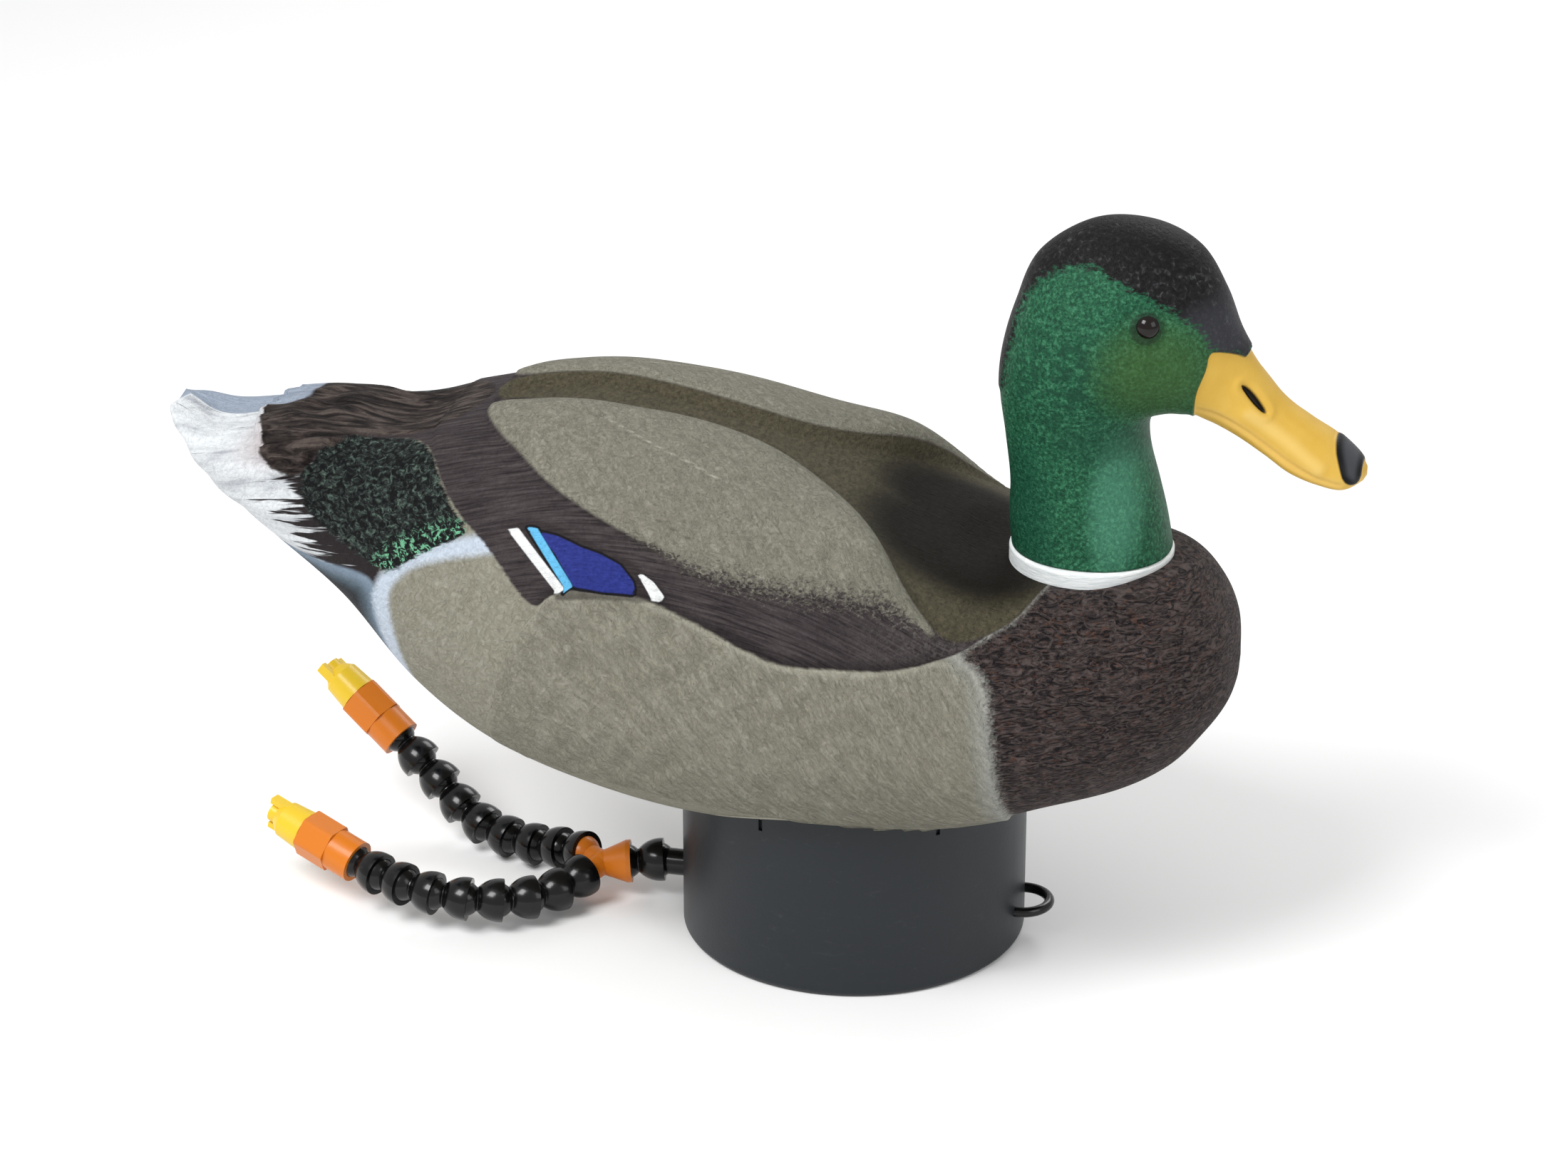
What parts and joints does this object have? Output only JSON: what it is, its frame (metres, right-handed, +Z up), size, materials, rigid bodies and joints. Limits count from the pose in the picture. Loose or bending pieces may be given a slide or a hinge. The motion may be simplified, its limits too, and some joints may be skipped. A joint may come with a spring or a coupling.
{
  "type": "water-jet duck decoy",
  "caption": "Floating mallard drake decoy on a round pump base, with a tie loop and a branched ball-jointed hose whose two nozzles push water to move it.",
  "frame": {"origin": "centre of the round base's flat foot", "axes": "+X the way the bill points, +Z up, hose on -X"},
  "size_m": [0.4066, 0.1687, 0.2622],
  "materials": {
    "base_plastic": "satin",
    "black_plastic": "gloss",
    "orange_plastic": "satin",
    "yellow_plastic": "satin",
    "hull_paint": "matte",
    "head_paint": "matte",
    "white_paint": "matte",
    "eye_gloss": "gloss",
    "rubber": "matte",
    "steel": "brushed",
    "motor_can": "brushed",
    "brass": "satin",
    "inner_plastic": "matte",
    "cell_wrap": "satin",
    "board_green": "satin"
  },
  "bodies": {
    "base": {"base_housing": "base_plastic", "inlet_grille": "base_plastic", "grille_screws": "steel", "base_lid": "base_plastic", "lid_screws": "steel", "lid_seal": "rubber", "tie_loop": "black_plastic", "tie_loop_nuts": "steel", "pump_volute": "inner_plastic", "shaft_seal": "rubber", "pump_motor": "motor_can", "outlet_stub": "black_plastic", "stub_nut": "brass", "battery_cells": "cell_wrap", "battery_cradle": "inner_plastic", "battery_strap": "inner_plastic", "control_board": "board_green", "board_parts": "black_plastic", "switch_body": "black_plastic", "charge_jack": "black_plastic"},
    "hull": {"hull_shell": "hull_paint", "hull_collar": "hull_paint", "neck_ring": "white_paint"},
    "head": {"head_shell": "head_paint", "neck_plug": "inner_plastic", "eyes": "eye_gloss"},
    "impeller": {"impeller": "inner_plastic", "impeller_shaft": "steel"},
    "switch_rocker": {"switch_rocker": "black_plastic"},
    "charge_cap": {"charge_cap": "rubber"},
    "feed_link": {"feed_link": "black_plastic"},
    "hose_wye": {"hose_wye": "orange_plastic"},
    "near_link_1": {"near_link_1": "black_plastic"},
    "near_link_2": {"near_link_2": "black_plastic"},
    "near_link_3": {"near_link_3": "black_plastic"},
    "near_link_4": {"near_link_4": "black_plastic"},
    "near_link_5": {"near_link_5": "black_plastic"},
    "near_link_6": {"near_link_6": "black_plastic"},
    "near_link_7": {"near_link_7": "black_plastic"},
    "near_link_8": {"near_link_8": "black_plastic"},
    "near_adapter": {"near_adapter": "orange_plastic"},
    "near_nozzle": {"near_nozzle": "yellow_plastic"},
    "far_link_1": {"far_link_1": "black_plastic"},
    "far_link_2": {"far_link_2": "black_plastic"},
    "far_link_3": {"far_link_3": "black_plastic"},
    "far_link_4": {"far_link_4": "black_plastic"},
    "far_link_5": {"far_link_5": "black_plastic"},
    "far_link_6": {"far_link_6": "black_plastic"},
    "far_link_7": {"far_link_7": "black_plastic"},
    "far_link_8": {"far_link_8": "black_plastic"},
    "far_adapter": {"far_adapter": "orange_plastic"},
    "far_nozzle": {"far_nozzle": "yellow_plastic"}
  },
  "joints": [
    {"name": "hull_lift", "type": "slide", "parent": "base", "child": "hull", "axis": [0, 0, 1], "range_m": [0, 0.06]},
    {"name": "head_turn", "type": "hinge", "parent": "hull", "child": "head", "pos_m": [0.0795, 0, 0.149], "axis": [0, 0, 1], "range_deg": [-25, 25]},
    {"name": "impeller_spin", "type": "hinge", "parent": "base", "child": "impeller", "pos_m": [-0.0175, 0, 0.014], "axis": [0, 0, 1], "continuous": true},
    {"name": "switch_rock", "type": "hinge", "parent": "base", "child": "switch_rocker", "pos_m": [0.0085, 0.055, 0.037], "axis": [1, 0, 0], "range_deg": [-8, 8]},
    {"name": "charge_cap_swing", "type": "hinge", "parent": "base", "child": "charge_cap", "pos_m": [-0.0095, 0.0579, 0.0287], "axis": [-1, 0, 0], "range_deg": [0, 120]},
    {"name": "feed_swing", "type": "hinge", "parent": "base", "child": "feed_link", "pos_m": [-0.07, 0, 0.0135], "axis": [0, 0, 1], "range_deg": [-6, 6]},
    {"name": "wye_tilt", "type": "hinge", "parent": "feed_link", "child": "hose_wye", "pos_m": [-0.08122, -0.00238, 0.0127], "axis": [-0.2079, 0.9781, 0], "range_deg": [-2, 3]},
    {"name": "near_joint_1", "type": "hinge", "parent": "hose_wye", "child": "near_link_1", "pos_m": [-0.09461, -0.01263, 0.01033], "axis": [0, 0, 1], "range_deg": [-9, 9]},
    {"name": "near_joint_2", "type": "hinge", "parent": "near_link_1", "child": "near_link_2", "pos_m": [-0.10034, -0.02257, 0.00953], "axis": [-0.7314, 0.682, 0], "range_deg": [-3, 7]},
    {"name": "near_joint_3", "type": "hinge", "parent": "near_link_2", "child": "near_link_3", "pos_m": [-0.10818, -0.03097, 0.00993], "axis": [0, 0, 1], "range_deg": [-4, 9]},
    {"name": "near_joint_4", "type": "hinge", "parent": "near_link_3", "child": "near_link_4", "pos_m": [-0.11779, -0.03721, 0.01094], "axis": [-0.309, 0.9511, 0], "range_deg": [-3, 8]},
    {"name": "near_joint_5", "type": "hinge", "parent": "near_link_4", "child": "near_link_5", "pos_m": [-0.12867, -0.04075, 0.01214], "axis": [0, 0, 1], "range_deg": [-5, 9]},
    {"name": "near_joint_6", "type": "hinge", "parent": "near_link_5", "child": "near_link_6", "pos_m": [-0.14005, -0.04154, 0.01354], "axis": [0.1908, 0.9816, 0], "range_deg": [-3, 8]},
    {"name": "near_joint_7", "type": "hinge", "parent": "near_link_6", "child": "near_link_7", "pos_m": [-0.15128, -0.03936, 0.01474], "axis": [0, 0, 1], "range_deg": [-5, 9]},
    {"name": "near_joint_8", "type": "hinge", "parent": "near_link_7", "child": "near_link_8", "pos_m": [-0.16177, -0.03469, 0.01534], "axis": [0.4384, 0.8988, 0], "range_deg": [-3, 8]},
    {"name": "near_adapter_joint", "type": "hinge", "parent": "near_link_8", "child": "near_adapter", "pos_m": [-0.17203, -0.02969, 0.01674], "axis": [0, 0, 1], "range_deg": [-9, 9]},
    {"name": "near_nozzle_twist", "type": "hinge", "parent": "near_adapter", "child": "near_nozzle", "pos_m": [-0.17203, -0.02969, 0.01674], "axis": [-0.9077, 0.3304, 0.2588], "range_deg": [-90, 90]},
    {"name": "far_joint_1", "type": "hinge", "parent": "hose_wye", "child": "far_link_1", "pos_m": [-0.09774, 0.00162, 0.0125], "axis": [0, 0, 1], "range_deg": [-9, 8]},
    {"name": "far_joint_2", "type": "hinge", "parent": "far_link_1", "child": "far_link_2", "pos_m": [-0.10771, 0.00692, 0.01031], "axis": [0.3746, 0.9272, 0], "range_deg": [-5, 4]},
    {"name": "far_joint_3", "type": "hinge", "parent": "far_link_2", "child": "far_link_3", "pos_m": [-0.11824, 0.01117, 0.00851], "axis": [0, 0, 1], "range_deg": [-9, 9]},
    {"name": "far_joint_4", "type": "hinge", "parent": "far_link_3", "child": "far_link_4", "pos_m": [-0.12912, 0.01491, 0.00851], "axis": [0.3907, 0.9205, 0], "range_deg": [-5, 4]},
    {"name": "far_joint_5", "type": "hinge", "parent": "far_link_4", "child": "far_link_5", "pos_m": [-0.1396, 0.01937, 0.01011], "axis": [0, 0, 1], "range_deg": [-9, 9]},
    {"name": "far_joint_6", "type": "hinge", "parent": "far_link_5", "child": "far_link_6", "pos_m": [-0.14916, 0.02424, 0.01423], "axis": [0.4384, 0.8988, 0], "range_deg": [-5, 4]},
    {"name": "far_joint_7", "type": "hinge", "parent": "far_link_6", "child": "far_link_7", "pos_m": [-0.15773, 0.02842, 0.02066], "axis": [0, 0, 1], "range_deg": [-9, 9]},
    {"name": "far_joint_8", "type": "hinge", "parent": "far_link_7", "child": "far_link_8", "pos_m": [-0.16648, 0.0316, 0.02742], "axis": [0.3256, 0.9455, 0], "range_deg": [-5, 4]},
    {"name": "far_adapter_joint", "type": "hinge", "parent": "far_link_8", "child": "far_adapter", "pos_m": [-0.17527, 0.03463, 0.03418], "axis": [0, 0, 1], "range_deg": [-9, 9]},
    {"name": "far_nozzle_twist", "type": "hinge", "parent": "far_adapter", "child": "far_nozzle", "pos_m": [-0.17527, 0.03463, 0.03418], "axis": [-0.779, 0.2835, 0.5592], "range_deg": [-90, 90]}
  ]
}
